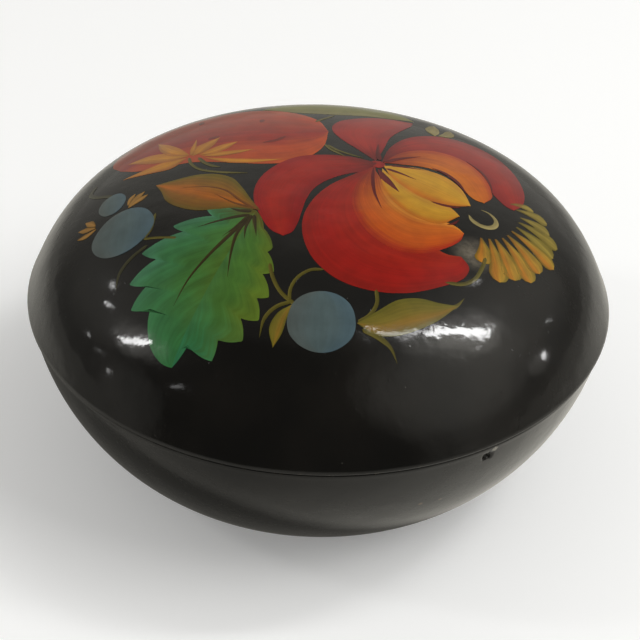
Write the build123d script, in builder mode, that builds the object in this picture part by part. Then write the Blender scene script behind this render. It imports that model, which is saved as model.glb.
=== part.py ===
from build123d import *
import os

# Round lidded bowl of lacquered papier-mache or turned wood: a deep bowl on a flat foot, a thin
# locating collar glued in its mouth, and a domed lid that drops over the collar and lifts straight off.
# Frame: the origin is the centre of the underside, +Z runs up the axis of turning. Millimetres.

# ---- driving dimensions --------------------------------------------------------------------------
OUTER_RADIUS = 75.0  # of the lid at its widest, just above the seam
BOWL_HEIGHT = 45.3  # underside to the seam
LID_HEIGHT = 32.0  # seam to the top of the dome
FOOT_RADIUS = 42.5  # of the flat the bowl stands on
WALL = 5.0  # of the bowl and of the dome
RIM_INSET = 0.5  # the bowl's rim is this much smaller than the lid, and the lid's lip is rounded to meet it

# The outer curves are cubic Beziers. A handle is a share of the curve's own radius or height.
CROWN_HANDLE = 0.86  # radius share of the dome's top handle: how flat the crown is
SHOULDER_HANDLE = (0.93, 0.35)  # radius and height shares of the dome's handle above its rim, which leans in
SIDE_HANDLE = (0.945, 0.35)  # radius and height shares of the bowl's side handle
BELLY_HANDLE = (0.672, 0.042)  # radius and height shares of the handle above the foot

# ---- the locating collar and its seats -----------------------------------------------------------
COLLAR_OUTER = 68.5  # radius
COLLAR_WALL = 2.5
COLLAR_STAND = 4.0  # height of collar above the seam, which the lid must clear
COLLAR_DEPTH = 8.0  # height of collar glued into the bowl
COLLAR_LEAD = 0.6  # chamfer on the collar's top edges
GLUE_GAP = 0.05  # between the collar and its seat in the bowl
LID_CLEARANCE = 0.2  # radial, between the collar and the lid's rebate
REBATE_HEADROOM = 0.8  # between the collar's top and the lid's ledge

# ---- small features ------------------------------------------------------------------------------
FOOT_RECESS = 1.0  # depth of the hollow turned in the underside
FOOT_RING = 6.0  # width of the ring it stands on
EDGE_ROUND = 0.6
FLOOR_SWEEP = 11.0  # how far the handle of the inside curve reaches out over the floor

COLLAR_INNER = COLLAR_OUTER - COLLAR_WALL
BOWL_RIM_RADIUS = OUTER_RADIUS - RIM_INSET
LEDGE_HEIGHT = BOWL_HEIGHT - COLLAR_DEPTH
REBATE_RADIUS = COLLAR_OUTER + LID_CLEARANCE
REBATE_TOP = BOWL_HEIGHT + COLLAR_STAND + REBATE_HEADROOM
LID_TOP = BOWL_HEIGHT + LID_HEIGHT
RECESS_RADIUS = FOOT_RADIUS - FOOT_RING
INNER_FLOOR_RADIUS = FOOT_RADIUS - WALL


def dome_points(radius, base, top):
    """Control points of a dome's section, from its crown on the axis out to its rim."""
    return [
        (0, top),
        (CROWN_HANDLE * radius, top),
        (SHOULDER_HANDLE[0] * radius, base + SHOULDER_HANDLE[1] * (top - base)),
        (radius, base),
    ]


def edges_at(part, radius, height):
    """The circular edges of a turned part at a radius and a height."""
    circles = part.edges().filter_by(GeomType.CIRCLE)
    return circles.filter_by(
        lambda edge: abs(edge.radius - radius) < 0.01 and abs(edge.center().Z - height) < 0.01
    )


# ---- bowl: flat foot, belly, near-upright side and a rebate for the collar -----------------------
with BuildPart() as bowl:
    with BuildSketch(Plane.XZ):
        with BuildLine():
            Line((0, FOOT_RECESS), (RECESS_RADIUS, FOOT_RECESS))
            Line((RECESS_RADIUS, FOOT_RECESS), (RECESS_RADIUS, 0))
            Line((RECESS_RADIUS, 0), (FOOT_RADIUS, 0))
            Bezier(
                (FOOT_RADIUS, 0),
                (BELLY_HANDLE[0] * BOWL_RIM_RADIUS, BELLY_HANDLE[1] * BOWL_HEIGHT),
                (SIDE_HANDLE[0] * BOWL_RIM_RADIUS, SIDE_HANDLE[1] * BOWL_HEIGHT),
                (BOWL_RIM_RADIUS, BOWL_HEIGHT),
            )
            Line((BOWL_RIM_RADIUS, BOWL_HEIGHT), (COLLAR_OUTER + GLUE_GAP, BOWL_HEIGHT))
            Line((COLLAR_OUTER + GLUE_GAP, BOWL_HEIGHT), (COLLAR_OUTER + GLUE_GAP, LEDGE_HEIGHT))
            Line((COLLAR_OUTER + GLUE_GAP, LEDGE_HEIGHT), (COLLAR_INNER, LEDGE_HEIGHT))
            Bezier(
                (COLLAR_INNER, LEDGE_HEIGHT),
                (SIDE_HANDLE[0] * COLLAR_INNER, SIDE_HANDLE[1] * BOWL_HEIGHT),
                (INNER_FLOOR_RADIUS + FLOOR_SWEEP, WALL),
                (INNER_FLOOR_RADIUS, WALL),
            )
            Line((INNER_FLOOR_RADIUS, WALL), (0, WALL))
            Line((0, WALL), (0, FOOT_RECESS))
        make_face()
    revolve(axis=Axis.Z)
    fillet(edges_at(bowl, BOWL_RIM_RADIUS, BOWL_HEIGHT), EDGE_ROUND)
    fillet(edges_at(bowl, RECESS_RADIUS, 0), EDGE_ROUND)
bowl.part.label = "bowl"

# ---- locating_collar: thin ring glued in the bowl's mouth, standing up into the lid --------------
with BuildPart() as locating_collar:
    with BuildSketch(Plane.XY.offset(LEDGE_HEIGHT + GLUE_GAP)):
        Circle(COLLAR_OUTER)
        Circle(COLLAR_INNER, mode=Mode.SUBTRACT)
    extrude(amount=COLLAR_DEPTH + COLLAR_STAND - GLUE_GAP)
    chamfer(locating_collar.faces().sort_by(Axis.Z)[-1].edges(), COLLAR_LEAD)
locating_collar.part.label = "locating_collar"

# ---- lid: domed shell with a rebate inside its rim that drops over the collar --------------------
with BuildPart() as lid:
    with BuildSketch(Plane.XZ):
        with BuildLine():
            Bezier(*dome_points(OUTER_RADIUS, BOWL_HEIGHT + RIM_INSET, LID_TOP))
            RadiusArc(
                (OUTER_RADIUS, BOWL_HEIGHT + RIM_INSET),
                (OUTER_RADIUS - RIM_INSET, BOWL_HEIGHT),
                RIM_INSET,
            )
            Line((OUTER_RADIUS - RIM_INSET, BOWL_HEIGHT), (REBATE_RADIUS, BOWL_HEIGHT))
            Line((REBATE_RADIUS, BOWL_HEIGHT), (REBATE_RADIUS, REBATE_TOP))
            Line((REBATE_RADIUS, REBATE_TOP), (COLLAR_INNER, REBATE_TOP))
            Bezier(*dome_points(COLLAR_INNER, REBATE_TOP, LID_TOP - WALL))
            Line((0, LID_TOP - WALL), (0, LID_TOP))
        make_face()
    revolve(axis=Axis.Z)
    chamfer(edges_at(lid, REBATE_RADIUS, BOWL_HEIGHT), EDGE_ROUND)
lid.part.label = "lid"

# ---- write one STEP for each piece ---------------------------------------------------------------
os.makedirs("parts", exist_ok=True)
for piece in (bowl.part, locating_collar.part, lid.part):
    export_step(piece, f"parts/{piece.label}.step")
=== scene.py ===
import bpy
import math
import numpy as np
from mathutils import Matrix, Vector


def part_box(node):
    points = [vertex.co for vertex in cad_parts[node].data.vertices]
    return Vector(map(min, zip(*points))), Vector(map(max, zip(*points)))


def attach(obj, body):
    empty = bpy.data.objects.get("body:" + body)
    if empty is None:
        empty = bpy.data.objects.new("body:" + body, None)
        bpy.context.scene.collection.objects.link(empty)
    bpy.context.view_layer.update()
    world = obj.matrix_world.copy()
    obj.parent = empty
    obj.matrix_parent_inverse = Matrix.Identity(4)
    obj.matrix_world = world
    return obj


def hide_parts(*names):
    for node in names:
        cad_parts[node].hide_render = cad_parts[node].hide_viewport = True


# Round lidded bowl in black lacquer with a painted lid. Lengths in this script are millimetres until a mesh
# is made. The painting is a set of thin closed films that lie on the dome like coats of paint, and one
# bump pattern runs through the lacquer of the dome and of every film, as under one clear coat.

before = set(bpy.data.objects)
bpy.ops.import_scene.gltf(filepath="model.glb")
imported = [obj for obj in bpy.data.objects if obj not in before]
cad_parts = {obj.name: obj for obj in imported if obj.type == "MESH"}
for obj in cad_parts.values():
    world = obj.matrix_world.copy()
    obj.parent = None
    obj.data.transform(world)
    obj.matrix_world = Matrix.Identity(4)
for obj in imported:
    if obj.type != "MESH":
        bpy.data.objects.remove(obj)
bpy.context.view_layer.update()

MM = 0.001

# ---- sizes, read from the frame ----
lid_low, lid_high = (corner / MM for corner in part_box("lid"))
OUTER_RADIUS = lid_high.x
SEAM = lid_low.z
TOP = lid_high.z
RIM_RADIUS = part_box("bowl")[1].x / MM
LIP = OUTER_RADIUS - RIM_RADIUS

# The turned profile's shares and lengths, the same as in the CAD.
CROWN_HANDLE = 0.86
SHOULDER_HANDLE = (0.93, 0.35)
SIDE_HANDLE = (0.945, 0.35)
BELLY_HANDLE = (0.672, 0.042)
FOOT_RADIUS = 42.5
FOOT_RING = 6.0
RECESS_RADIUS = FOOT_RADIUS - FOOT_RING
FOOT_RECESS = 1.0
WALL = 5.0
COLLAR_OUTER = 68.5
COLLAR_WALL = 2.5
COLLAR_INNER = COLLAR_OUTER - COLLAR_WALL
COLLAR_STAND = 4.0
COLLAR_DEPTH = 8.0
GLUE_GAP = 0.05
LID_CLEARANCE = 0.2
REBATE_HEADROOM = 0.8
REBATE_RADIUS = COLLAR_OUTER + LID_CLEARANCE
REBATE_TOP = SEAM + COLLAR_STAND + REBATE_HEADROOM
FLOOR_SWEEP = 11.0
EDGE_ROUND = 0.6
RIM_ROUND = 0.9  # of the bowl's outer rim, a little more than in the CAD

SEGMENTS = 360  # round the axis of a turned piece
SHARP_ANGLE = 35  # degrees between faces that keep their edge
rng = np.random.default_rng(17)  # gives each dab of paint its own tone


# ---- curves ----
def bezier(points, count):
    """Points along a cubic Bezier curve."""
    p = np.array(points, float)
    t = np.linspace(0, 1, count)[:, None]
    return (1 - t) ** 3 * p[0] + 3 * (1 - t) ** 2 * t * p[1] + 3 * (1 - t) * t**2 * p[2] + t**3 * p[3]


def arc(centre, radius, start, stop, count):
    """Points on a circle's arc, angles in degrees."""
    a = np.radians(np.linspace(start, stop, count))
    return np.stack([centre[0] + radius * np.cos(a), centre[1] + radius * np.sin(a)], -1)


def dome(radius, base, top, count):
    """A dome's section from its crown out to its rim, which leans in."""
    shoulder = (SHOULDER_HANDLE[0] * radius, base + SHOULDER_HANDLE[1] * (top - base))
    return bezier([(0, top), (CROWN_HANDLE * radius, top), shoulder, (radius, base)], count)


def even(points, count):
    """The same path with its points evenly spaced."""
    step = np.hypot(*np.diff(points, axis=0).T)
    along = np.concatenate([[0], np.cumsum(step)])
    wanted = np.linspace(0, along[-1], count)
    return np.stack([np.interp(wanted, along, points[:, k]) for k in (0, 1)], -1)


def path(points, count):
    """A smooth path through the points: a centripetal Catmull-Rom curve, evenly spaced."""
    steps = 24
    p = np.array(points, float)
    knots = np.concatenate([[0], np.cumsum(np.hypot(*np.diff(p, axis=0).T) ** 0.5)])
    slope = np.gradient(p, knots, axis=0)
    parts = []
    for k in range(len(p) - 1):
        width = knots[k + 1] - knots[k]
        t = np.linspace(0, 1, steps, endpoint=k == len(p) - 2)[:, None]
        parts.append(
            (2 * t**3 - 3 * t**2 + 1) * p[k]
            + (t**3 - 2 * t**2 + t) * width * slope[k]
            + (3 * t**2 - 2 * t**3) * p[k + 1]
            + (t**3 - t**2) * width * slope[k + 1]
        )
    return even(np.concatenate(parts), count)


DOME = dome(OUTER_RADIUS, SEAM + LIP, TOP, 1500)


def on_dome(plan, height):
    """Plan points lifted on to the dome, and the dome's normals there."""
    r = np.hypot(plan[..., 0], plan[..., 1])
    z = np.interp(r, DOME[:, 0], DOME[:, 1])
    step = 0.1
    outer = np.minimum(r + step, OUTER_RADIUS - step)
    inner = np.maximum(outer - 2 * step, 0)
    low, high = (np.interp(reach, DOME[:, 0], DOME[:, 1]) for reach in (outer, inner))
    fall = (low - high) / (outer - inner)
    safe = np.maximum(r, 1e-6)
    normal = np.stack([-fall * plan[..., 0] / safe, -fall * plan[..., 1] / safe, np.ones_like(r)], -1)
    normal /= np.linalg.norm(normal, axis=-1, keepdims=True)
    return np.stack([plan[..., 0], plan[..., 1], z], -1) + normal * height, normal


# ---- meshes ----
def add_mesh(name, verts, faces, slots=None):
    """A smooth-shaded mesh object from millimetres."""
    mesh = bpy.data.meshes.new(name)
    mesh.from_pydata((np.asarray(verts) * MM).tolist(), [], faces)
    mesh.shade_smooth()
    if slots is not None:
        mesh.polygons.foreach_set("material_index", np.asarray(slots, np.int32))
    obj = bpy.data.objects.new(name, mesh)
    bpy.context.scene.collection.objects.link(obj)
    return obj


def lathe(name, sections, angles, shape=None):
    """A closed turned solid whose faces point outward. Each section is (points, material index), and they run
    from the axis round to the axis. shape(points) may move the finished surface."""
    profile, index = [], []
    for points, slot in sections:
        start = 1 if profile and np.allclose(profile[-1], points[0]) else 0
        profile.extend(points[start:])
        index.extend([slot] * (len(points) - start))
    profile = np.array(profile)
    rows, turns = len(profile), len(angles)
    radius, height = profile[:, :1], np.repeat(profile[:, 1:], turns, 1)
    grid = np.stack([radius * np.cos(angles), radius * np.sin(angles), height], -1)
    if shape:
        grid = shape(grid)
    x, z = profile.T
    clockwise = (x * np.roll(z, -1) - np.roll(x, -1) * z).sum() < 0
    verts, ids = [], np.zeros((rows, turns), int)
    for k in range(rows):
        if profile[k, 0] < 1e-6:
            ids[k] = len(verts)
            verts.append(grid[k, 0])
        else:
            ids[k] = np.arange(turns) + len(verts)
            verts.extend(grid[k])
    faces, slots = [], []
    for k in range(rows - 1):
        for j in range(turns):
            i = (j + 1) % turns
            corners = [ids[k, j], ids[k + 1, j], ids[k + 1, i], ids[k, i]]
            face = list(dict.fromkeys(int(c) for c in corners))
            faces.append(face if clockwise else face[::-1])
            slots.append(index[k + 1])
    obj = add_mesh(name, verts, faces, slots)
    obj.data.set_sharp_from_angle(angle=math.radians(SHARP_ANGLE))
    return obj


# ---- colours and materials ----
def srgb(r, g, b):
    """Scene-linear colour and a full alpha, from display values of 0 to 255."""
    return [((c / 255 + 0.055) / 1.055) ** 2.4 if c > 10 else c / 255 / 12.92 for c in (r, g, b)] + [1]


class Nodes:
    """Short calls for building the node tree of a material or of the world."""

    def __init__(self, owner):
        owner.use_nodes = True
        self.owner = owner
        self.tree = owner.node_tree
        self.tree.nodes.clear()

    def add(self, kind, inputs=None, **settings):
        node = self.tree.nodes.new("ShaderNode" + kind)
        for key, value in settings.items():
            setattr(node, key, value)
        for key, value in (inputs or {}).items():
            socket = node.inputs[key]
            if isinstance(value, bpy.types.NodeSocket):
                self.tree.links.new(value, socket)
            else:
                socket.default_value = value
        return node

    def out(self, kind, inputs, output=0, **settings):
        return self.add(kind, inputs, **settings).outputs[output]

    def math(self, operation, a, b=0.0):
        return self.out("Math", {0: a, 1: b}, operation=operation)

    def times(self, a, b):
        return self.math("MULTIPLY", a, b)

    def plus(self, a, b):
        return self.math("ADD", a, b)

    def minus(self, a, b):
        return self.math("SUBTRACT", a, b)

    def centred(self, value, width):
        """A value of 0 to 1 as a shift of up to half the width to either side."""
        return self.times(self.minus(value, 0.5), width)

    def stretched(self, place, factors):
        return self.out("VectorMath", {0: place, 1: factors}, operation="MULTIPLY")

    def distance(self, place, spot):
        return self.out("VectorMath", {0: place, 1: spot}, "Value", operation="DISTANCE")

    def cells(self, place, scale):
        """Scattered points: the distance to the nearest one, and its own random colour's channels."""
        near = self.add("TexVoronoi", {"Vector": place, "Scale": scale})
        return near.outputs["Distance"], self.add("SeparateColor", {"Color": near.outputs["Color"]}).outputs

    def noise(self, vector, scale, detail=2.0, roughness=0.5, w=None):
        inputs = {"Vector": vector, "Scale": scale, "Detail": detail, "Roughness": roughness}
        if w is not None:
            inputs["W"] = w
        return self.out("TexNoise", inputs, "Fac", noise_dimensions="3D" if w is None else "4D")

    def span(self, value, low, high, to_low=0.0, to_high=1.0, step="SMOOTHSTEP"):
        """A step from one level to another as the value goes from low to high."""
        inputs = {"Value": value, "From Min": low, "From Max": high, "To Min": to_low, "To Max": to_high}
        return self.out("MapRange", inputs, "Result", interpolation_type=step)

    def mix(self, factor, a, b, blend="MIX"):
        return self.out("Mix", {0: factor, 6: a, 7: b}, 2, data_type="RGBA", blend_type=blend)

    def shaded(self, colour, shade):
        """A colour times a brightness."""
        grey = self.out("CombineColor", {0: shade, 1: shade, 2: shade})
        return self.mix(1.0, colour, grey, "MULTIPLY")

    def ramp(self, factor, stops):
        node = self.add("ValToRGB", {"Fac": factor})
        node.color_ramp.interpolation = "EASE"
        elements = node.color_ramp.elements
        elements.remove(elements[1])
        elements[0].position, elements[0].color = stops[0]
        for position, colour in stops[1:]:
            elements.new(position).color = colour
        return node.outputs["Color"]

    def object_mm(self):
        """Object coordinates in millimetres."""
        place = self.add("TexCoord").outputs["Object"]
        return self.out("VectorMath", {0: place, 3: 1 / MM}, operation="SCALE")


# The clear coat's unevenness: noise scale per millimetre, noise detail, and height in millimetres.
WAVES = (0.09, 1.0, 0.26)
SWELLS = (0.24, 1.0, 0.06)
PEEL = (0.55, 2.0, 0.024)
# Dust nibs under the coat: cells per millimetre, share of cells without one, reach and height.
NIB_CELLS = 0.42
NIBLESS = 0.7
NIB_REACH = 0.13
NIB_HEIGHT = 0.042
COAT_ROUGHNESS = (0.065, 0.13)  # where it is glossiest, and where it is rubbed most
HAZE = 0.07  # weight of the wide soft highlight that fine rubbing leaves


def lacquer_coat(n, place, unevenness):
    """The clear coat's bump and roughness: slow waves, orange peel, dust nibs and fine rubbing marks."""
    height = 0.0
    for (scale, detail, rise), roughness in ((WAVES, 0.5), (SWELLS, 0.5), (PEEL, 0.55)):
        height = n.plus(height, n.times(n.noise(place, scale, detail, roughness), rise * unevenness))
    distance, channels = n.cells(place, NIB_CELLS)
    picked = n.math("GREATER_THAN", channels[0], NIBLESS)
    nib = n.times(n.span(distance, 0.0, NIB_REACH, 1.0, 0.0), picked)
    height = n.plus(height, n.times(nib, NIB_HEIGHT))
    bump = n.out("Bump", {"Height": height, "Distance": MM}, "Normal")
    rubbed = n.span(n.noise(place, 0.16, 3.0, 0.6), 0.35, 0.75, *COAT_ROUGHNESS)
    return bump, rubbed


def coated(n, colour, place, under_rough=0.32, unevenness=1.0, coat=1.0):
    """A coloured ground under glossy clear lacquer."""
    bump, roughness = lacquer_coat(n, place, unevenness)
    shader = n.add(
        "BsdfPrincipled",
        {
            "Base Color": colour,
            "Roughness": under_rough,
            "Specular IOR Level": HAZE,
            "Coat Weight": coat,
            "Coat Roughness": roughness,
            "Coat IOR": 1.5,
            "Coat Normal": bump,
        },
    )
    n.add("OutputMaterial", {"Surface": shader.outputs[0]})
    return n.owner


# Small marks on the outside: place, reach in millimetres and colour, most of them the colour of the bared
# ground. The near-black one in the chip's hollow is painted shade.
WEAR_MARKS_AND_CHIP_SHADE = [
    ((25.5, -65.6, 29.5), 0.7, (96, 78, 58)),
    ((30.2, -63.4, 29.1), 0.6, (88, 72, 56)),
    ((41.6, -61.0, 43.6), 1.0, (132, 128, 116)),
    # painted shade: darker than the lacquer, filling the chip's hollow
    ((40.0, -62.1, 41.8), 1.1, (9, 8, 7)),
    ((-62.0, 38.0, 43.9), 0.8, (92, 78, 60)),
    ((-24.0, 66.4, 33.0), 0.6, (88, 74, 58)),
]
# A soft pale patch on the black beside the flower's eye: place, reach in millimetres and strength.
PALE_PATCH = ((36.6, -24.2, 72.4), 7.0, 0.62)
EDGE_WEAR_REACH = 0.8  # millimetres from the seam
EDGE_WEAR_BAND = (1.4, 0.6)  # it fades in between these distances inside the rim's radius
EDGE_WEAR_STRENGTH = 0.7
DUST_CELLS = 0.34  # per millimetre
DUSTLESS = 0.86  # share of the cells without a grain
DUST_REACH = 0.055
DUST_STRENGTH = 0.7


def edge_wear(n, place):
    """How far the lacquer is rubbed through along the seam."""
    from_seam = n.math("ABSOLUTE", n.minus(n.out("SeparateXYZ", {0: place}, 2), SEAM))
    level = n.stretched(place, (1, 1, 0))
    radius = n.out("VectorMath", {0: level}, "Value", operation="LENGTH")
    band = n.span(radius, *(RIM_RADIUS - inside for inside in EDGE_WEAR_BAND))
    at_edge = n.times(n.span(from_seam, 0.0, EDGE_WEAR_REACH, 1, 0), band)
    broken = n.span(n.noise(place, 0.7, 3.0, 0.6), 0.54, 0.7)
    return n.times(n.times(at_edge, broken), EDGE_WEAR_STRENGTH)


def black_lacquer():
    """Black ground with a faint brown cast, rubbed thin along the seam, marked, with painted shade in the
    chip's hollow, and a little dusty.
    """
    n = Nodes(bpy.data.materials.new("black_lacquer"))
    place = n.object_mm()
    cast = n.span(n.noise(place, 0.05, 3.0), 0.35, 0.7)
    colour = n.mix(cast, srgb(17, 16, 14), srgb(24, 22, 19))
    colour = n.mix(edge_wear(n, place), colour, srgb(92, 82, 66))
    # wear marks in the colour of the bared ground, and painted shade in the chip's hollow
    for spot, reach, ground in WEAR_MARKS_AND_CHIP_SHADE:
        ragged = n.plus(n.distance(place, spot), n.centred(n.noise(place, 2.2, 2.0), reach))
        colour = n.mix(n.span(ragged, reach * 0.55, reach, 1, 0), colour, srgb(*ground))
    # a soft pale patch beside the flower's eye, mixed into the black
    spot, reach, strength = PALE_PATCH
    patchy = n.span(n.noise(place, 0.5, 3.0, 0.6), 0.3, 0.65, 0.45, 1.0)
    pale_patch = n.times(n.span(n.distance(place, spot), 0.0, reach, strength, 0.0), patchy)
    colour = n.mix(pale_patch, colour, srgb(140, 130, 112))
    distance, channels = n.cells(place, DUST_CELLS)
    few = n.math("GREATER_THAN", channels[1], DUSTLESS)
    grain = n.times(few, n.span(distance, 0.0, DUST_REACH, DUST_STRENGTH, 0.0))
    return coated(n, n.mix(grain, colour, srgb(150, 146, 136)), place)


def red_lacquer():
    """Satin red of the inside, thinner and browner where the brush left less."""
    n = Nodes(bpy.data.materials.new("red_lacquer"))
    place = n.object_mm()
    cloud = n.span(n.noise(place, 0.06, 4.0, 0.6), 0.3, 0.7)
    colour = n.mix(cloud, srgb(142, 30, 20), srgb(166, 42, 26))
    brushed = n.stretched(place, (0.05, 0.05, 1.4))
    colour = n.shaded(colour, n.span(n.noise(brushed, 1.0, 3.0, 0.6), 0.3, 0.7, 0.86, 1.06))
    return coated(n, colour, place, under_rough=0.5, unevenness=1.3, coat=0.6)


PAINT_DEPTH = 0.014  # how much the lacquer's reflection adds to every colour under it
LEAST_COLOUR = 0.002


def pigment(r, g, b):
    """Scene-linear colour of paint that reads as these display values under its lacquer."""
    return [max(c - PAINT_DEPTH, LEAST_COLOUR) for c in srgb(r, g, b)[:3]] + [1]


def tones(*colours):
    """Evenly spaced colours across a stroke, as (place, colour) pairs."""
    return [(k / (len(colours) - 1), colour) for k, colour in enumerate(colours)]


def oil_paint(name, across, along=None, streak=0.16, fine=26.0, root=None, tip=None, slant=None):
    """Brushed oil colour. across is a ramp over the stroke's width, along a ramp of brightness from root to
    tip, root an (r, g, b, reach) colour at the stroke's start and tip one at its end. streak is how strong
    the brush marks are and fine how many. With a slant they run outward from the middle."""
    n = Nodes(bpy.data.materials.new(name))
    place = n.object_mm()
    parts = n.add("SeparateXYZ", {0: n.add("UVMap", uv_map="stroke").outputs[0]})
    run, side = parts.outputs[0], parts.outputs[1]
    tone = n.add("Attribute", attribute_name="tone", attribute_type="GEOMETRY").outputs["Fac"]
    ahead, beside = run, side
    if slant:
        ahead, beside = side, n.minus(run, n.times(side, slant))
    brush_place = n.out("CombineXYZ", {0: n.times(ahead, 1.6), 1: n.times(beside, fine)})
    bristle = n.noise(brush_place, 1.0, 3.0, 0.62, w=n.times(tone, 40.0))
    side_soft = n.plus(side, n.centred(n.noise(place, 0.12, 2.0), 0.22))
    side_soft = n.plus(side_soft, n.centred(bristle, 0.16))
    run_soft = n.plus(run, n.centred(bristle, 0.3))
    colour = n.ramp(side_soft, [(p, pigment(*c)) for p, c in across])
    if root:
        colour = n.mix(n.span(run_soft, 0.0, root[3], 1, 0), colour, pigment(*root[:3]))
    if tip:
        colour = n.mix(n.span(run_soft, 1 - tip[3], 1.0), colour, pigment(*tip[:3]))
    shade = n.span(bristle, 0.25, 0.75, 1 - streak, 1 + streak)
    shade = n.times(shade, n.plus(n.times(tone, 0.16), 0.92))
    if along:
        grey = n.ramp(run, [(p, (g, g, g, 1)) for p, g in along])
        shade = n.times(shade, n.out("SeparateColor", {0: grey}))
    shade = n.times(shade, n.span(n.noise(place, 0.22, 3.0), 0.3, 0.7, 0.91, 1.09))
    return coated(n, n.shaded(colour, shade), place)


# ---- the painting: films on the dome ----
# Heights over the dome in millimetres: the first coat, each next coat, and a film's hidden underside.
FIRST_COAT = 0.03
COAT_STEP = 0.02
UNDERSIDE = -0.02

NARROWEST = 0.06  # least width of a film
LEAST_HALF = 0.04  # least half width that a brush leaves
COLUMN_SPACING = 0.8  # across a film, in millimetres
PETAL_SPACING = 0.6
STROKE_SPACING = 0.5
# The bouquet is drawn flat, and laid on the dome a little further back and larger: each pair is the shift or
# growth at the crown, and its change out to the rim.
SHIFT_BACK = (8.0, -10.2)
GROW_SIDEWAYS = (1.6, -2.0)
GROW_BACKWARD = (4.5, -7.2)


def loft(left, right):
    """A grid between two plan edges of equally many points. Where they meet it keeps a least width."""
    gap = right - left
    width = np.hypot(*gap.T)
    wide = np.flatnonzero(width > NARROWEST)
    nearest = wide[np.abs(np.arange(len(width))[:, None] - wide).argmin(1)]
    aside = gap[nearest] / width[nearest, None] * NARROWEST / 2
    middle = (left + right) / 2
    narrow = (width < NARROWEST)[:, None]
    left, right = np.where(narrow, middle - aside, left), np.where(narrow, middle + aside, right)
    columns = max(4, int(width.max() / COLUMN_SPACING) + 2)
    t = np.linspace(0, 1, columns)[None, :, None]
    return left[:, None] * (1 - t) + right[:, None] * t


def points_along(points, spacing):
    """How many points a plan path gets."""
    return int(np.hypot(*np.diff(np.array(points, float), axis=0).T).sum() / spacing) + 8


def petal(root, tip, left, right):
    """A grid between two smooth plan edges that leave one root and meet at one tip."""
    edges = [root, *left, tip], [root, *right, tip]
    count = max(points_along(edge, PETAL_SPACING) for edge in edges)
    return loft(*(path(edge, count) for edge in edges))


def stroke(points, width, head=0.3, tail=0.75):
    """One brush stroke along a plan path, which swells over its head share and thins after its tail share."""
    line = path(points, points_along(points, STROKE_SPACING))
    t = np.linspace(0, 1, len(line))
    swell = np.clip(t / head, 0, 1) ** 0.6
    thin = np.clip((1 - t) / (1 - tail), 0, 1) ** 0.8
    half = np.maximum(width / 2 * swell * thin, LEAST_HALF)[:, None]
    ahead = np.gradient(line, axis=0)
    ahead /= np.linalg.norm(ahead, axis=1, keepdims=True)
    aside = np.stack([-ahead[:, 1], ahead[:, 0]], -1)
    return loft(line + aside * half, line - aside * half)


def strokes(*rows):
    """Strokes that are each given as their points, width, head share and tail share."""
    return [stroke(*row) for row in rows]


def disc(x, y, half_width, half_height, tilt=0):
    """A round dab of paint, a little uneven like a hand-painted one: a grid between its two half outlines."""
    a = np.linspace(0, math.pi, 48)
    uneven = 1 + 0.012 * np.sin(3 * a + x) + 0.010 * np.sin(5 * a + y)
    c, s = math.cos(math.radians(tilt)), math.sin(math.radians(tilt))
    edges = []
    for sign in (-1, 1):
        px, py = sign * half_width * np.sin(a) * uneven, half_height * np.cos(a)
        edges.append(np.stack([x + c * px - s * py, y + s * px + c * py], -1))
    return loft(*edges)


def toothed(points, bulge, count):
    """A leaf's cut edge: points are tips and notches in turn, and each side between them swells outward."""
    p = np.array(points, float)
    parts = []
    for a, b in zip(p[:-1], p[1:]):
        t = np.linspace(0, 1, 16)[:, None]
        side = b - a
        out = np.array([side[1], -side[0]])
        parts.append(a + side * t + out * bulge * 4 * t * (1 - t))
    return even(np.concatenate(parts), count)


def lay(plan):
    """The flat drawing's points moved to their plan places on the dome."""
    out = plan / OUTER_RADIUS
    spread = (out**2).sum(-1)
    back, sideways, backward = (a + b * spread for a, b in (SHIFT_BACK, GROW_SIDEWAYS, GROW_BACKWARD))
    x = plan[..., 0] + sideways * out[..., 0]
    y = plan[..., 1] + back + backward * out[..., 1]
    return np.stack([x, y], -1)


def film_faces(rows, columns, start):
    """Faces of one film: its top grid, its underside and the rim between them."""
    top = np.arange(rows * columns).reshape(rows, columns) + start
    low = top + rows * columns
    quads = []
    for i in range(rows - 1):
        for j in range(columns - 1):
            quads.append((top[i, j], top[i, j + 1], top[i + 1, j + 1], top[i + 1, j]))
            quads.append((low[i, j], low[i + 1, j], low[i + 1, j + 1], low[i, j + 1]))
    rim = [(i, 0) for i in range(rows)] + [(rows - 1, j) for j in range(1, columns)]
    rim += [(i, columns - 1) for i in range(rows - 2, -1, -1)]
    rim += [(0, j) for j in range(columns - 2, 0, -1)]
    for a, b in zip(rim, rim[1:] + rim[:1]):
        quads.append((top[a], top[b], low[b], low[a]))
    return quads


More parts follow.
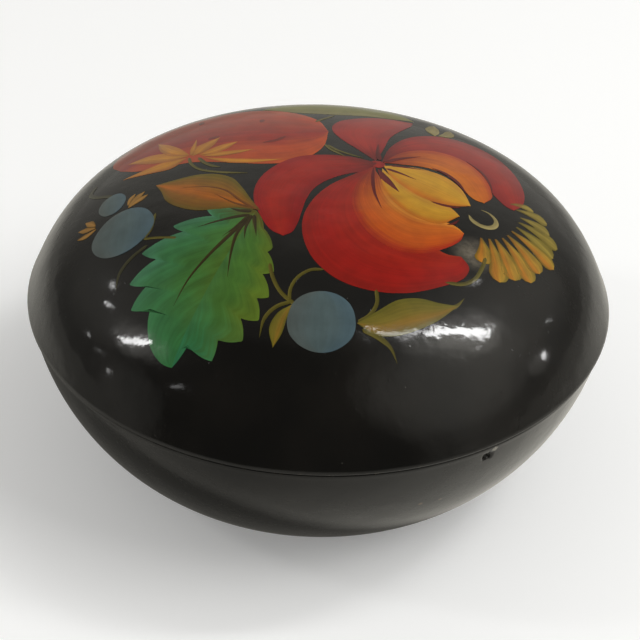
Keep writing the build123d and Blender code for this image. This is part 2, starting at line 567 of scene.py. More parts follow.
def film(name, grids, coat, material):
    """One object of thin closed films, one for each plan grid, on the given coat of the painting."""
    verts, normals, faces, uvs, shades = [], [], [], [], []
    height = FIRST_COAT + COAT_STEP * coat
    for grid in grids:
        grid = lay(grid)
        rows, columns = grid.shape[:2]
        top, normal = on_dome(grid, height)
        under, _ = on_dome(grid, UNDERSIDE)
        quads = film_faces(rows, columns, len(verts))
        corner, beside, ahead = grid[rows // 2, 0], grid[rows // 2, -1], grid[rows // 2 + 1, 0]
        if np.cross(beside - corner, ahead - corner) < 0:
            quads = [q[::-1] for q in quads]
        faces.extend(tuple(int(k) for k in q) for q in quads)
        for surface in (top, under):
            verts.extend(surface.reshape(-1, 3))
            normals.extend(normal.reshape(-1, 3))
        u, v = np.meshgrid(np.linspace(0, 1, rows), np.linspace(0, 1, columns), indexing="ij")
        uvs.extend(np.stack([u, v], -1).reshape(-1, 2).tolist() * 2)
        shades.extend([float(rng.random())] * (2 * rows * columns))
    obj = add_mesh(name, verts, faces)
    mesh = obj.data
    corners = np.zeros(len(mesh.loops), np.int32)
    mesh.loops.foreach_get("vertex_index", corners)
    layer = mesh.uv_layers.new(name="stroke")
    layer.data.foreach_set("uv", np.array(uvs)[corners].astype(np.float32).ravel())
    tone = mesh.attributes.new("tone", "FLOAT", "POINT")
    tone.data.foreach_set("value", np.array(shades, np.float32))
    mesh.normals_split_custom_set_from_vertices(np.array(normals).tolist())
    mesh.materials.append(material)
    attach(obj, "lid")


# ---- turned pieces ----
# The chip in the bowl: its place round the rim and under it, its half sizes and its depth.
CHIP_ANGLE = math.radians(-57.0)
CHIP_DROP = 3.5
CHIP_HALF_WIDTH = 1.3
CHIP_HALF_HEIGHT = 0.9
CHIP_DEPTH = 0.9
OUTSIDE_SKIN = 2.2  # the chip moves only points this close to the rim's radius
CHIP_SPREAD = 0.06  # radians to either side in which the mesh is finer
CLOSEST_TURN = 0.0008  # least angle between two rows


def ring_angles(*spots):
    """Angles round the axis, closer together near each spot."""
    base = np.linspace(0, 2 * math.pi, SEGMENTS, endpoint=False)
    extra = [spot + np.linspace(-CHIP_SPREAD, CHIP_SPREAD, 60) for spot in spots]
    merged = np.sort(np.concatenate([base, *[e % (2 * math.pi) for e in extra]]))
    keep = np.concatenate([[True], np.diff(merged) > CLOSEST_TURN])
    return merged[keep]


def chip_rim(grid):
    """A ragged flake missing from the bowl's side, just under the rim."""
    angle = np.arctan2(grid[..., 1], grid[..., 0])
    radius = np.hypot(grid[..., 0], grid[..., 1])
    around = (angle - CHIP_ANGLE) * RIM_RADIUS
    down = grid[..., 2] - (SEAM - CHIP_DROP)
    ragged = 1 + 0.25 * np.sin(around * 4.1) + 0.18 * np.sin(around * 9.7 + down * 5)
    inside = np.exp(-((around / CHIP_HALF_WIDTH) ** 4)) * np.exp(-((down / CHIP_HALF_HEIGHT) ** 4))
    inward = np.where(radius > RIM_RADIUS - OUTSIDE_SKIN, CHIP_DEPTH * inside * ragged, 0)
    scale = (radius - inward) / np.maximum(radius, 1e-6)
    return grid * np.stack([scale, scale, np.ones_like(scale)], -1)


def straight(start, stop, count):
    """Points along a straight stretch of a profile."""
    return even(np.array([start, stop], float), count)


black = black_lacquer()
red = red_lacquer()


def add_shell(body, sections, angles, shape=None):
    """A turned mesh in place of a body's CAD node. Its material 0 is black and 1 red."""
    obj = lathe(body + "_shell", sections, angles, shape)
    obj.data.materials.append(black)
    obj.data.materials.append(red)
    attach(obj, body)
    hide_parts(body)


def build_bowl():
    ledge = SEAM - COLLAR_DEPTH
    seat = COLLAR_OUTER + GLUE_GAP
    flat = RECESS_RADIUS + EDGE_ROUND
    round_start = RIM_RADIUS - RIM_ROUND
    floor_radius = FOOT_RADIUS - WALL
    side = [
        (FOOT_RADIUS, 0),
        (BELLY_HANDLE[0] * RIM_RADIUS, BELLY_HANDLE[1] * SEAM),
        (SIDE_HANDLE[0] * RIM_RADIUS, SIDE_HANDLE[1] * SEAM),
        (RIM_RADIUS, SEAM),
    ]
    hollow = [
        (COLLAR_INNER, ledge),
        (SIDE_HANDLE[0] * COLLAR_INNER, SIDE_HANDLE[1] * SEAM),
        (floor_radius + FLOOR_SWEEP, WALL),
        (floor_radius, WALL),
    ]
    below_round = bezier(side, 400)[:-8]
    sections = [
        (straight((0, FOOT_RECESS), (RECESS_RADIUS, FOOT_RECESS), 14), 0),
        (straight((RECESS_RADIUS, FOOT_RECESS), (RECESS_RADIUS, EDGE_ROUND), 3), 0),
        (arc((flat, EDGE_ROUND), EDGE_ROUND, 180, 270, 6), 0),
        (straight((flat, 0), (FOOT_RADIUS, 0), 5), 0),
        (even(below_round, 130), 0),
        (arc((round_start, SEAM - RIM_ROUND), RIM_ROUND, 0, 90, 9), 0),
        (straight((round_start, SEAM), (seat, SEAM), 8), 0),
        (straight((seat, SEAM), (seat, ledge), 5), 0),
        (straight((seat, ledge), (COLLAR_INNER, ledge), 4), 1),
        (even(bezier(hollow, 400), 48), 1),
        (straight((floor_radius, WALL), (0, WALL), 14), 1),
    ]
    add_shell("bowl", sections, ring_angles(CHIP_ANGLE), chip_rim)


def build_lid():
    lead = REBATE_RADIUS + EDGE_ROUND
    sections = [
        (even(dome(OUTER_RADIUS, SEAM + LIP, TOP, 400), 110), 0),
        (arc((RIM_RADIUS, SEAM + LIP), LIP, 0, -90, 9), 0),
        (straight((RIM_RADIUS, SEAM), (lead, SEAM), 5), 0),
        (straight((lead, SEAM), (REBATE_RADIUS, SEAM + EDGE_ROUND), 3), 1),
        (straight((REBATE_RADIUS, SEAM + EDGE_ROUND), (REBATE_RADIUS, REBATE_TOP), 6), 1),
        (straight((REBATE_RADIUS, REBATE_TOP), (COLLAR_INNER, REBATE_TOP), 4), 1),
        (even(dome(COLLAR_INNER, REBATE_TOP, TOP - WALL, 400), 60)[::-1], 1),
    ]
    add_shell("lid", sections, ring_angles())


build_bowl()
build_lid()
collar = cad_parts["locating_collar"]
collar.data.materials.clear()
collar.data.materials.append(red)


# ---- the bouquet ----
def paint_back_leaf():
    paint = oil_paint("paint_back_leaf", tones((108, 108, 52), (132, 130, 68), (112, 104, 52)))
    grid = petal(
        (-17, 40), (24, 36),
        [(-12, 47), (-2, 52), (10, 52), (19, 46)],
        [(-8, 34), (2, 32.5), (11, 33.5), (19, 34.5)],
    )
    film("back_leaf", [grid], 0, paint)


def paint_fruit():
    paint = oil_paint(
        "paint_fruit",
        [
            (0, (162, 68, 38)), (0.3, (148, 54, 30)), (0.6, (138, 42, 24)), (0.8, (160, 64, 28)),
            (1, (166, 71, 32)),
        ],
        along=[(0, 0.9), (0.2, 1.0), (1, 1.18)],
        streak=0.15,
    )
    grid = petal(
        (-52, 11), (1, 18),
        [(-55, 18), (-54, 27), (-48, 34), (-38, 39), (-27, 41), (-18, 39.5), (-9, 34), (-2, 26.5)],
        [(-47, 6.5), (-40, 4.5), (-33, 4), (-24, 1.5), (-15, -0.5), (-8, 0), (-3, 3.5), (0, 9)],
    )
    film("fruit", [grid], 0, paint)
    dark = oil_paint("paint_fruit_seeds", tones((104, 36, 28), (116, 44, 34)))
    seeds = [disc(-33, 33.5, 0.8, 1.7), disc(-16.5, 27, 0.7, 1.3), disc(-28.5, 17.3, 1.5, 0.7, 20)]
    seeds += [stroke([(-15.5, 11), (-12, 12.2), (-9.8, 14.6)], 1.2)]
    film("fruit_seeds", seeds, 1, dark)


def paint_calyx():
    paint = oil_paint(
        "paint_gold",
        tones((168, 105, 26), (179, 119, 36), (146, 86, 22)),
        along=[(0, 0.8), (0.4, 1.05), (1, 1.0)],
        streak=0.2, fine=8,
    )
    dabs = [
        petal((-34, 8.5), (-43.5, 22.5), [(-37, 14), (-40.5, 19)], [(-39, 10.5), (-42, 15)]),
        petal((-34, 8), (-50.5, 14), [(-40, 12.5), (-45, 14.5)], [(-39, 7), (-44.5, 9)]),
        petal((-34.5, 7), (-50.5, 4.5), [(-40, 7.5), (-45, 6)], [(-38, 2.8), (-44, 3)]),
        stroke([(-33.6, 8), (-33.2, 13), (-33, 18)], 1.5, 0.3, 0.4),
        petal((-33.2, 7.5), (-26.8, 17), [(-33, 12), (-30, 15)], [(-30, 9), (-28, 12.5)]),
        petal((-31.5, 7.5), (-22, 12.8), [(-29, 9.8), (-26, 11.8)], [(-28, 7), (-24.5, 9)]),
        petal((-31, 6.8), (-17.5, 7.4), [(-27, 7.6), (-23, 7.6)], [(-27, 5.2), (-22, 5.6)]),
        petal((-30, 5.6), (-10, 1.4), [(-25, 3.8), (-18, 2.2)], [(-25, 1.8), (-18, 0.2)]),
    ]
    film("calyx", dabs, 1, paint)


def paint_stems():
    paint = oil_paint("paint_olive_line", tones((78, 72, 36), (98, 90, 46)), streak=0.2, fine=3)
    lines = strokes(
        ([(-34, 7), (-33, 3), (-30.5, -0.5), (-25, -3.2), (-18.5, -4.6)], 0.8, 0.05),
        ([(-31.5, 6), (-29.5, 2.5), (-27.5, 0.5), (-25.5, -0.6)], 1.0, 0.1),
        ([(-11.5, -38), (-10.6, -42), (-8.6, -46), (-5.5, -49)], 0.9, 0.05, 0.97),
        ([(1, -39.8), (-2, -40), (-4.8, -42), (-6.4, -45), (-6.6, -48.5)], 0.8, 0.1, 0.97),
        ([(-6, -48.4), (-9.5, -49.6), (-12, -52.2), (-12.9, -56.2)], 0.9, 0.05, 0.6),
        ([(13, -44.2), (13.2, -47.5), (11.6, -50.6), (9, -52.6)], 0.9, 0.05, 0.97),
        ([(10, -54), (14, -55.4), (16.5, -57), (18, -59.6)], 1.2, 0.05, 0.5),
        ([(29, -38.8), (33, -38), (36, -35.6), (38, -31.5), (39, -28)], 0.9, 0.1, 0.97),
        ([(30.5, -45), (32, -43.6), (33.4, -41.6)], 0.9, 0.05, 0.2),
        ([(-40, -16.2), (-40.2, -19), (-40.6, -22), (-42, -25)], 0.7, 0.1),
        ([(-42, -24.6), (-38.5, -25.4), (-34, -26.8)], 0.7, 0.05, 0.97),
        ([(0.2, 9.8), (1.6, 7.2), (3.6, 5.2), (5.6, 3.4)], 0.8, 0.1, 0.6),
        ([(1, 9.4), (3.4, 6.8), (6.4, 5), (10, 3.4)], 0.7, 0.1, 0.7),
        ([(-2.4, 25), (-1, 27), (0.6, 29), (2.6, 32)], 0.9, 0.1, 0.8),
    )
    film("stems", lines, 2, paint)
    thin_paint = oil_paint("paint_thin_line", tones((54, 52, 38), (66, 64, 46)), streak=0.2, fine=3)
    faint = strokes(
        ([(-40.8, -27), (-44.6, -29.6), (-47, -33), (-47.4, -37)], 0.9, 0.05, 0.6),
        ([(-58, 9), (-59, 5), (-57, 1.5), (-54.6, -0.6), (-52.5, -2.2)], 1.1, 0.1, 0.97),
    )
    film("faint_stems", faint, 2, thin_paint)


def paint_outer_petals():
    paint = oil_paint(
        "paint_red",
        [(0, (134, 35, 24)), (0.45, (149, 41, 26)), (1, (129, 33, 23))],
        root=(98, 33, 28, 0.3),
        streak=0.1,
    )
    right = petal(
        (14.5, 2), (47.5, -6),
        [
            (16.5, 10), (20.5, 17.5), (26, 23), (33, 26.5), (40, 26.5), (46, 22.5), (50, 14), (51.2, 5),
            (50, -2),
        ],
        [(19, 6), (25, 9), (31, 10), (37, 8.5), (40.5, 4.5), (42, 0), (42.5, -2), (44, -4.2), (45.5, -5.6)],
    )
    upper = petal(
        (13, 2.5), (23.5, 33.5),
        [(8.5, 8), (4, 14), (1.9, 20), (3.4, 25.5), (8.5, 30), (15, 33)],
        [(14.2, 6), (15.5, 11), (16.6, 16), (18.6, 21), (21.2, 26), (23, 30)],
    )
    left = petal(
        (13.5, 1.5), (-8.8, -29.6),
        [
            (7, 3.6), (0, 3.9), (-6.5, 2.6), (-12, -1.8), (-15.6, -8), (-16.5, -15), (-14.6, -22),
            (-11.8, -27.4),
        ],
        [
            (10, -3), (5.6, -5), (1, -8.2), (-2, -11.8), (-3.8, -16.5), (-4.8, -21.5), (-5.6, -25.5),
            (-6.8, -28.4),
        ],
    )
    hub = disc(13.5, 1.0, 1.9, 1.7)
    film("outer_petals", [right, upper, left, hub], 1, paint)


def paint_orange_petal():
    paint = oil_paint(
        "paint_orange",
        [(0, (166, 68, 36)), (0.3, (179, 91, 30)), (1, (187, 102, 26))],
        root=(132, 50, 36, 0.5),
        streak=0.12,
    )
    grid = petal(
        (15, 2), (39.8, -7.6),
        [(19, 8), (24.5, 12), (30, 13.4), (35.5, 12), (39.6, 7.5), (41.8, 1.6), (42, -4)],
        [(20, 2.4), (26, 2.8), (30.6, 1.4), (33.2, -1), (35, -4), (36, -6), (37.6, -7.4)],
    )
    film("orange_petal", [grid], 2, paint)


def paint_great_petal():
    paint = oil_paint(
        "paint_great_red",
        [
            (0, (134, 38, 30)), (0.3, (144, 38, 28)), (0.62, (148, 42, 28)), (0.8, (144, 42, 30)),
            (1, (146, 50, 30)),
        ],
        root=(124, 40, 34, 0.25),
        streak=0.1,
    )
    grid = petal(
        (12.8, 0), (33, -30),
        [
            (7.4, -5), (2, -10), (-2, -16), (-4.3, -23), (-4.1, -30), (-1.4, -37), (4, -42.2), (11.5, -44.5),
            (20, -43.8), (28, -40.2), (33.6, -36), (34.8, -32.6),
        ],
        [
            (13, -4), (12.6, -9), (12.8, -14), (14, -19), (16.6, -23.4), (20, -26.4), (24, -28.2),
            (27, -29.4), (29, -30.2), (30.6, -30.4), (31.8, -30.2), (32.4, -30.1),
        ],
    )
    film("great_petal", [grid], 1, paint)


def paint_lower_orange():
    paint = oil_paint(
        "paint_lower_orange",
        [
            (0, (148, 46, 30)), (0.06, (154, 52, 30)), (0.26, (176, 80, 34)), (0.75, (182, 94, 36)),
            (1, (190, 120, 46)),
        ],
        root=(138, 50, 36, 0.4),
        along=[(0, 0.85), (0.5, 0.98), (1, 1.12)],
        streak=0.13,
    )
    grid = petal(
        (12.4, -1), (34, -22),
        [
            (9.4, -6), (7.4, -12), (7.2, -18), (9, -24), (12.6, -29), (18, -32.2), (23.6, -31.8),
            (29, -28.8), (33, -24.8),
        ],
        [
            (14.2, -6), (15, -10), (16.6, -14), (19, -17), (22, -19), (25, -19.6), (28, -19.6),
            (30.6, -19.6), (32.6, -20.6),
        ],
    )
    film("lower_orange", [grid], 2, paint)


def paint_yellow():
    paint = oil_paint(
        "paint_yellow",
        [(0, (186, 132, 48)), (0.3, (190, 142, 44)), (0.7, (186, 132, 40)), (1, (178, 102, 34))],
        root=(190, 136, 46, 0.2),
        streak=0.13,
    )
    upper = petal(
        (15, 0.4), (36.2, -10.6),
        [(20, 1.4), (25.5, 1.4), (30.4, -0.2), (33.8, -3.6), (35.4, -7.4)],
        [(17, -5), (20, -9), (24, -11.6), (28, -12.6), (32.6, -12.2)],
    )
    lower = petal(
        (14.6, -1), (33.2, -16),
        [(18.4, -6.6), (23, -10.8), (28, -13), (31.2, -13.6)],
        [(14.4, -8), (17, -14.6), (22, -19.4), (28, -20.6)],
    )
    film("yellow_petals", [lower, upper], 3, paint)


def paint_accents():
    paint = oil_paint("paint_dark_red", tones((84, 26, 20), (100, 34, 24)), streak=0.2, fine=5)
    lines = strokes(
        ([(13.6, -1.5), (15, -5), (16.8, -8), (18.6, -10.8)], 2.0, 0.35, 0.5),
        ([(12.4, -1), (12.2, -6), (12.6, -12), (14.2, -18)], 0.9, 0.2, 0.5),
        ([(15.5, -0.8), (19, -2.2), (23, -4.2)], 0.9, 0.1, 0.3),
        ([(16.5, 0.9), (20, 1.1), (25, 1.2)], 0.8, 0.1, 0.3),
        ([(15.5, 2.4), (19, 5), (24.5, 8.2)], 1.2, 0.1, 0.3),
        ([(27, 3.2), (30.6, 1.6), (33.4, -1.4), (35.6, -6)], 1.0, 0.3, 0.6),
        ([(26.4, -12.7), (30, -13.1), (33.6, -12.5)], 0.8, 0.3, 0.6),
        ([(30, -20.2), (31.5, -19.4), (33, -17.4)], 0.6, 0.3, 0.6),
        ([(14, 3), (13.6, 7), (13.8, 12)], 1.3, 0.1, 0.3),
        ([(36.6, 11.8), (40, 8), (42, 2), (42.2, -2.4)], 0.8, 0.4, 0.6),
    )
    film("accents", lines, 4, paint)


def paint_flower_eye():
    paint = oil_paint("paint_pale_gold", tones((128, 116, 76), (150, 136, 90)), streak=0.2, fine=3)
    ring = arc((0, 0), 1, -175, 95, 11) * (3.4, 3.2) + (39, -14.2)
    film("flower_eye", [stroke(ring, 1.3, 0.15, 0.6)], 1, paint)


def finger(base, tip, width):
    """A dab of a loaded round brush: a thin start, widest where its rounded end begins."""
    start_share, round_from = 0.12, 0.78
    a, b = np.array(base, float), np.array(tip, float)
    ahead = (b - a) / np.linalg.norm(b - a)
    aside = np.array([-ahead[1], ahead[0]])
    t = np.linspace(0, 1, 26)[:, None]
    rounded = np.sqrt(np.maximum(1 - np.clip((t - round_from) / (1 - round_from), 0, 1) ** 2, 0))
    swell = start_share + (1 - start_share) * np.clip(t / round_from, 0, 1) ** 1.05
    half = np.maximum(width / 2 * swell * rounded, LEAST_HALF)
    line = a + (b - a) * t + aside * 0.5 * np.sin(math.pi * t)
    return loft(line + aside * half, line - aside * half)


def paint_stamens():
    gold = oil_paint(
        "paint_stamens_gold",
        [(0, (122, 104, 40)), (0.35, (158, 122, 46)), (0.7, (166, 108, 38)), (1, (114, 90, 34))],
        along=[(0, 0.55), (0.35, 0.95), (1, 1.1)],
        streak=0.25, fine=6,
    )
    olive = oil_paint(
        "paint_stamens_olive",
        tones((104, 92, 38), (140, 122, 54), (108, 94, 38)),
        along=[(0, 0.55), (0.35, 0.9), (1, 1.1)],
        streak=0.25, fine=6,
    )
    upper = [
        ((46.8, -3.6), (53, -1.8), 2.8), ((48.2, -5.2), (56.4, -4.2), 4.0), ((49, -8), (56.6, -8.8), 4.2),
        ((48.4, -10.4), (58.4, -12.4), 5.0), ((47.6, -12.8), (56.8, -17.2), 5.2),
    ]
    lower = [
        ((46.2, -15.2), (56.6, -21), 5.0), ((45, -17.4), (52.6, -25.4), 5.4),
        ((43.6, -19.2), (50.2, -29.6), 5.2), ((41.8, -20.6), (46, -31.4), 5.6),
        ((40.2, -21.2), (42.2, -33.8), 5.0), ((38.2, -21.8), (38.4, -30), 4.8),
    ]
    film("stamens_upper", [finger(*dab) for dab in upper], 1, olive)
    film("stamens_lower", [finger(*dab) for dab in lower], 2, gold)


def paint_green_leaf():
    paint = oil_paint(
        "paint_green",
        [(0, (76, 104, 46)), (0.3, (66, 106, 54)), (0.7, (62, 110, 68)), (1, (70, 118, 86))],
        root=(84, 78, 36, 0.16),
        tip=(58, 110, 66, 0.5),
        streak=0.22, fine=17, slant=0.45,
    )
    olive = oil_paint(
        "paint_olive_green",
        [(0, (70, 108, 58)), (0.35, (72, 108, 50)), (1, (90, 110, 44))],
        root=(84, 78, 36, 0.2),
        tip=(56, 112, 76, 0.45),
        streak=0.16, fine=16, slant=0.45,
    )
    count = 150
    rib = path([(-15.5, -20.5), (-19, -29), (-23, -38), (-27.5, -48), (-31, -55), (-32.5, -58.2)], count)
    left = toothed(
        [
            (-15.5, -20.5), (-22, -18.6), (-27.5, -18), (-25.8, -21.2), (-35.2, -22.6), (-32.4, -25.2),
            (-42, -29.2), (-38.2, -32.2), (-44.2, -37), (-39.8, -39), (-43.2, -43.6), (-38.4, -45),
            (-38.4, -51), (-36.2, -55.5), (-32.5, -58.2),
        ],
        0.07,
        count,
    )
    right = toothed(
        [
            (-15.5, -20.5), (-13.4, -27), (-11, -33.5), (-12.2, -34.6), (-10.4, -40.6), (-13, -41),
            (-11.2, -47.2), (-14, -47.2), (-13.2, -52.6), (-17.4, -51.6), (-16.6, -56.6), (-22.2, -55.6),
            (-23.4, -59.4), (-29, -55.2), (-32.5, -58.2),
        ],
        -0.07,
        count,
    )
    film("green_leaf_left", [loft(rib, left)], 1, paint)
    film("green_leaf_right", [loft(rib, right)], 1, olive)
    dark = oil_paint("paint_vein", tones((52, 44, 22), (62, 56, 28)), streak=0.2, fine=3)
    veins = strokes(
        ([(-16.8, -22), (-21, -28), (-26, -34.4), (-30, -40), (-33, -46)], 1.1, 0.1, 0.3),
        ([(-17, -22.5), (-19.6, -28), (-20.6, -34), (-21, -41)], 1.0, 0.1, 0.2),
        ([(-17, -21.8), (-21, -22.4), (-24.4, -23.2), (-29, -24.4)], 1.0, 0.1, 0.3),
        ([(-16.5, -20.6), (-19.6, -20), (-22, -18.8)], 1.2, 0.1, 0.3),
        ([(-16.5, -22), (-17.6, -26), (-17.8, -30)], 1.0, 0.1, 0.2),
        ([(-16, -22), (-15.6, -25), (-15, -29.5)], 1.0, 0.1, 0.2),
        ([(-17, -22), (-20.6, -26.4), (-23, -28.6)], 0.9, 0.1, 0.2),
    )
    film("leaf_veins", veins, 2, dark)


def paint_brown_leaf():
    paint = oil_paint(
        "paint_brown_leaf",
        [
            (0, (100, 86, 32)), (0.28, (125, 86, 28)), (0.58, (159, 91, 28)), (0.78, (122, 82, 25)),
            (1, (95, 77, 27)),
        ],
        root=(96, 66, 34, 0.2),
        streak=0.16, fine=14,
    )
    grid = petal(
        (-14.6, -20.4), (-41.2, -4.2),
        [(-17, -16), (-19.4, -11), (-22, -6.6), (-26, -4), (-31, -3), (-36, -3.6)],
        [(-20, -19), (-25, -18.8), (-30, -18.2), (-35, -15.4), (-38, -12), (-39.4, -8)],
    )
    film("brown_leaf", [grid], 2, paint)
    dark = oil_paint("paint_brown_vein", tones((92, 56, 26), (108, 68, 30)), streak=0.15, fine=3)
    veins = strokes(
        ([(-15.6, -20), (-19.4, -16.4), (-23.4, -11.6), (-28, -9.2), (-34, -8)], 0.7, 0.1, 0.3),
        ([(-17, -19), (-21, -17), (-26, -12.6)], 0.6, 0.1, 0.3),
    )
    film("brown_leaf_veins", veins, 3, dark)


def paint_berries():
    paint = oil_paint(
        "paint_berry",
        tones((84, 91, 88), (81, 94, 94), (77, 94, 100)),
        along=[(0, 1.06), (0.6, 0.98), (1, 1.0)],
        streak=0.08, fine=9,
    )
    dabs = [disc(-51.9, -6.4, 3.4, 4.5, 5), disc(-47.7, -19.2, 7.5, 7.9), disc(0.8, -52.6, 7.8, 6.9)]
    film("berries", dabs, 3, paint)


def paint_small_leaves():
    olive = oil_paint(
        "paint_olive_leaf",
        [(0, (98, 92, 42)), (0.4, (114, 102, 46)), (0.7, (130, 102, 46)), (1, (98, 92, 42))],
        streak=0.16, fine=10,
    )
    right = petal(
        (8.8, -52.8), (32, -44),
        [(13.4, -49.4), (18, -46), (23, -44.6), (27.5, -44.6)],
        [(12.6, -54.8), (17.4, -54.4), (22.6, -52), (27, -49)],
    )
    small = petal((-6, -49.2), (-9.8, -58.4), [(-9, -51), (-10.8, -54.4)], [(-7, -52.6), (-8, -55.8)])
    film("olive_leaves", [right, small], 3, olive)
    gold = oil_paint(
        "paint_sepal",
        tones((134, 100, 46), (160, 116, 56), (120, 88, 38)),
        streak=0.25, fine=5,
    )
    lines = strokes(
        ([(-47.4, -10.8), (-45.2, -9), (-42.8, -7.4)], 1.7, 0.6, 0.7),
        ([(-47.4, -10.2), (-45.8, -7.8), (-43.8, -5.6)], 1.7, 0.6, 0.7),
        ([(-47.6, -9.6), (-47.2, -7.4), (-46.2, -5.4)], 1.3, 0.6, 0.7),
        ([(-55.4, -12.6), (-57, -10.4), (-58.4, -8.8)], 1.7, 0.5, 0.6),
        ([(-55.2, -13.4), (-57.4, -12.4), (-60, -10.8)], 1.7, 0.5, 0.6),
        ([(-55, -14), (-57.2, -14.6), (-59.8, -14)], 1.7, 0.5, 0.6),
    )
    film("sepals", lines, 2, gold)
    pale = oil_paint("paint_pale_sepal", tones((126, 112, 58), (142, 128, 74)), streak=0.2, fine=4)
    tips = [
        petal((29, 25), (29.4, 37), [(26.8, 29), (27.4, 33)], [(30.4, 29), (30.4, 33)]),
        petal((30, 26), (33.8, 36), [(31.4, 29.6), (32.4, 33)], [(33.2, 27.6), (34.6, 31)]),
    ]
    film("pale_sepals", tips, 2, pale)


paint_back_leaf()
paint_fruit()
paint_calyx()
paint_stems()
paint_outer_petals()
paint_orange_petal()
paint_great_petal()
paint_lower_orange()
paint_yellow()
paint_accents()
paint_flower_eye()
paint_stamens()
paint_green_leaf()
paint_brown_leaf()
paint_berries()
paint_small_leaves()


# ---- floor, light and camera ----
FLOOR_HALF = 3.0  # metres
FLOOR_GLOW = 0.2
# What the lacquer mirrors of the floor: brightness by place, with the millimetres over which it changes.
# It is lit to the right, dimmer to the left and further off, and dark close under the bowl.
FLOOR_MIRROR_LEFT = 0.26
FLOOR_MIRROR_RIGHT = 0.64
ACROSS = (-30.0, 90.0)
FLOOR_MIRROR_MIDDLE = 0.46
FLOOR_MIRROR_FAR = 0.24
TO_MIDDLE = (95.0, 180.0)
TO_FAR = (200.0, 500.0)
BOWL_SHADE = 0.09
SHADE_CENTRE = (-25.0, 5.0, 0)
SHADE_EDGE = (70.0, 80.0)


def blend_levels(n, share, low, high):
    """Between two levels by a share of the high one."""
    return n.plus(n.times(low, n.minus(1.0, share)), n.times(high, share))


def add_floor():
    """A pale even floor. Mirrored in the lacquer it is the shaded table the bowl stands on."""
    mesh = bpy.data.meshes.new("floor")
    corners = [(x * FLOOR_HALF, y * FLOOR_HALF, 0) for x, y in ((-1, -1), (1, -1), (1, 1), (-1, 1))]
    mesh.from_pydata(corners, [], [(0, 1, 2, 3)])
    floor = bpy.data.objects.new("floor", mesh)
    bpy.context.scene.collection.objects.link(floor)
    n = Nodes(bpy.data.materials.new("floor_paper"))
    place = n.object_mm()
    matt = {"Base Color": (0.88, 0.88, 0.87, 1), "Roughness": 0.9, "Specular IOR Level": 0.1}
    paper = n.out("BsdfPrincipled", matt)
    glow = n.out("Emission", {"Color": (1.0, 1.0, 0.99, 1), "Strength": FLOOR_GLOW})
    seen = n.out("AddShader", {0: paper, 1: glow})
    across = n.out("SeparateXYZ", {0: place})
    near = n.span(across, *ACROSS, FLOOR_MIRROR_LEFT, FLOOR_MIRROR_RIGHT, "LINEAR")
    reach = n.distance(place, (0, 0, 0))
    beyond = n.span(reach, *TO_FAR, FLOOR_MIRROR_MIDDLE, FLOOR_MIRROR_FAR)
    level = blend_levels(n, n.span(reach, *TO_MIDDLE), near, beyond)
    lit = n.span(n.distance(place, SHADE_CENTRE), *SHADE_EDGE)
    level = blend_levels(n, lit, BOWL_SHADE, level)
    mirrored = n.out("Emission", {"Color": (1.0, 0.97, 0.87, 1), "Strength": level})
    ray = n.add("LightPath").outputs
    shader = n.out("MixShader", {0: ray["Is Camera Ray"], 1: paper, 2: seen})
    shader = n.out("MixShader", {0: ray["Is Glossy Ray"], 1: shader, 2: mirrored})
    n.add("OutputMaterial", {"Surface": shader})
    mesh.materials.append(n.owner)


# Soft bright and dark areas of the room as the lacquer mirrors them: direction, reach in degrees, brightness.
ROOM_LEVEL = 0.13
DARKEST = 0.03
ROOM_PATCHES = [
    ((0.0, 1.0, 0.0), 55, 0.24),
    ((0.67, -0.42, 0.60), 42, 0.54),
    ((0.66, 0.30, 0.62), 34, 0.30),
    ((-0.75, 0.30, 0.55), 30, 0.14),
    ((-0.90, -0.35, 0.15), 22, 0.20),
    ((-0.20, -1.0, 0.55), 75, -0.28),
    ((0.62, 0.08, 0.78), 15, 1.05),
    ((0.45, 0.06, 0.89), 13, 0.6),
    ((-0.80, -0.06, 0.59), 13, 0.7),
    ((0.97, 0.07, 0.21), 8, 0.4),
]
FILL_LEVEL = 0.42
BACKDROP_LEVEL = 0.95


def add_world():
    """White to the camera, a soft even fill for the paint, and a dim room with bright and dark areas for the
    lacquer to mirror."""
    world = bpy.data.worlds.new("room")
    bpy.context.scene.world = world
    n = Nodes(world)
    ray = n.add("TexCoord").outputs["Generated"]
    level = ROOM_LEVEL
    for direction, reach, strength in ROOM_PATCHES:
        axis = tuple(Vector(direction).normalized())
        facing = n.out("VectorMath", {0: ray, 1: axis}, "Value", operation="DOT_PRODUCT")
        level = n.plus(n.span(facing, math.cos(math.radians(reach)), 1.0, 0.0, strength), level)
    level = n.math("MAXIMUM", level, DARKEST)
    path_kind = n.add("LightPath").outputs
    mirrored = n.out("Background", {"Color": (1.0, 0.97, 0.88, 1), "Strength": level})
    fill = n.out("Background", {"Color": (1.0, 0.99, 0.97, 1), "Strength": FILL_LEVEL})
    seen = n.out("Background", {"Color": (1.0, 1.0, 1.0, 1), "Strength": BACKDROP_LEVEL})
    light = n.out("MixShader", {0: path_kind["Is Glossy Ray"], 1: fill, 2: mirrored})
    mixed = n.out("MixShader", {0: path_kind["Is Camera Ray"], 1: light, 2: seen})
    n.add("OutputWorld", {"Surface": mixed})


LAMP_DISTANCE = 1.3
LAMPS_AIM = Vector((0, 0, 0.05))
UPRIGHT = (0, 0, 1)
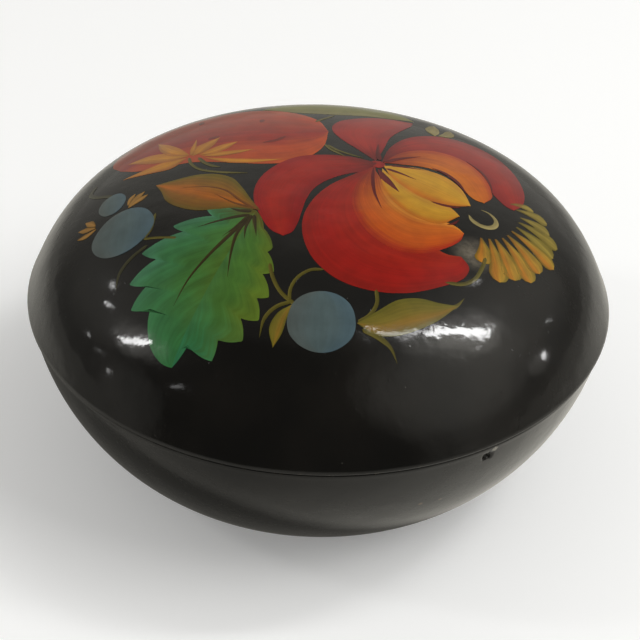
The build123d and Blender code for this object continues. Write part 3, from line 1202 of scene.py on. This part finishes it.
# Windows and lamps: name, direction, width and height in metres, radiance, and the way the height runs.
LAMPS = [
    ("window_right", (0.572, 0.08, 0.816), (0.11, 0.42), 22.0, (0.816, 0.02, -0.572)),
    ("window_right_edge", (0.33, 0.06, 0.942), (0.05, 0.30), 11.0, (0.94, 0.02, -0.33)),
    ("window_right_low", (0.975, 0.068, 0.21), (0.05, 0.11), 14.0, UPRIGHT),
    ("window_left", (-0.804, -0.061, 0.589), (0.08, 0.31), 20.0, (0.141, -0.033, 0.189)),
    ("lamp_left", (-0.74, 0.368, 0.563), (0.035, 0.05), 16.0, UPRIGHT),
    ("lamp_left_low", (-0.819, 0.243, 0.519), (0.035, 0.05), 16.0, UPRIGHT),
]
# Small lamps that sparkle in the lacquer, by direction.
SPARKLES = [
    (0.558, 0.173, 0.812),
    (0.469, 0.469, 0.748),
    (0.892, 0.300, 0.338),
    (0.700, -0.054, 0.712),
    (-0.968, 0.129, 0.214),
    (-0.975, -0.035, 0.219),
    (-0.974, -0.169, 0.151),
]
LAMPS += [("sparkle_%d" % (k + 1), way, (0.02, 0.02), 14.0, UPRIGHT) for k, way in enumerate(SPARKLES)]
LAMPS += [("glint_left", (-0.72, -0.51, 0.465), (0.03, 0.16), 3.5, (0.1, -0.05, 0.1))]


def add_lamp(name, direction, size, radiance, along, distance=LAMP_DISTANCE, mirrored=True):
    """A rectangular lamp facing the bowl from a direction. A lamp that isn't mirrored lights the scene
    without showing in the lacquer."""
    light = bpy.data.lights.new(name, "AREA")
    light.shape = "RECTANGLE"
    light.size, light.size_y = size
    light.energy = radiance * math.pi * size[0] * size[1]
    obj = bpy.data.objects.new(name, light)
    back = Vector(direction).normalized()
    side = Vector(along).cross(back).normalized()
    turn = Matrix((side, back.cross(side), back)).transposed()
    obj.matrix_world = Matrix.Translation(LAMPS_AIM + back * distance) @ turn.to_4x4()
    obj.visible_glossy = mirrored
    bpy.context.scene.collection.objects.link(obj)


# The camera's place and aim in millimetres, its lens in millimetres and its roll in degrees.
CAMERA_PLACE = (0.0, -335.1, 277.9)
CAMERA_AIM = (0.57, 0.0, 33.7)
LENS = 87.93
SENSOR_WIDTH = 36.0
ROLL = 2.08


def add_camera():
    """The viewer stands before the bowl and looks down on it by about 36 degrees."""
    data = bpy.data.cameras.new("camera")
    data.sensor_width = SENSOR_WIDTH
    data.lens = LENS
    data.clip_start, data.clip_end = 0.01, 50
    camera = bpy.data.objects.new("camera", data)
    camera.location = Vector(CAMERA_PLACE) * MM
    camera.rotation_mode = "QUATERNION"
    look = (Vector(CAMERA_AIM) - Vector(CAMERA_PLACE)).to_track_quat("-Z", "Y")
    camera.rotation_quaternion = look @ Matrix.Rotation(math.radians(ROLL), 3, "Z").to_quaternion()
    bpy.context.scene.collection.objects.link(camera)
    bpy.context.scene.camera = camera


add_floor()
add_world()
for lamp in LAMPS:
    add_lamp(*lamp)
add_lamp("key", (0.75, -0.25, 0.85), (0.9, 0.9), 3.6, UPRIGHT, distance=1.6, mirrored=False)
add_camera()

scene = bpy.context.scene
scene.view_settings.view_transform = "Standard"
scene.view_settings.look = "None"
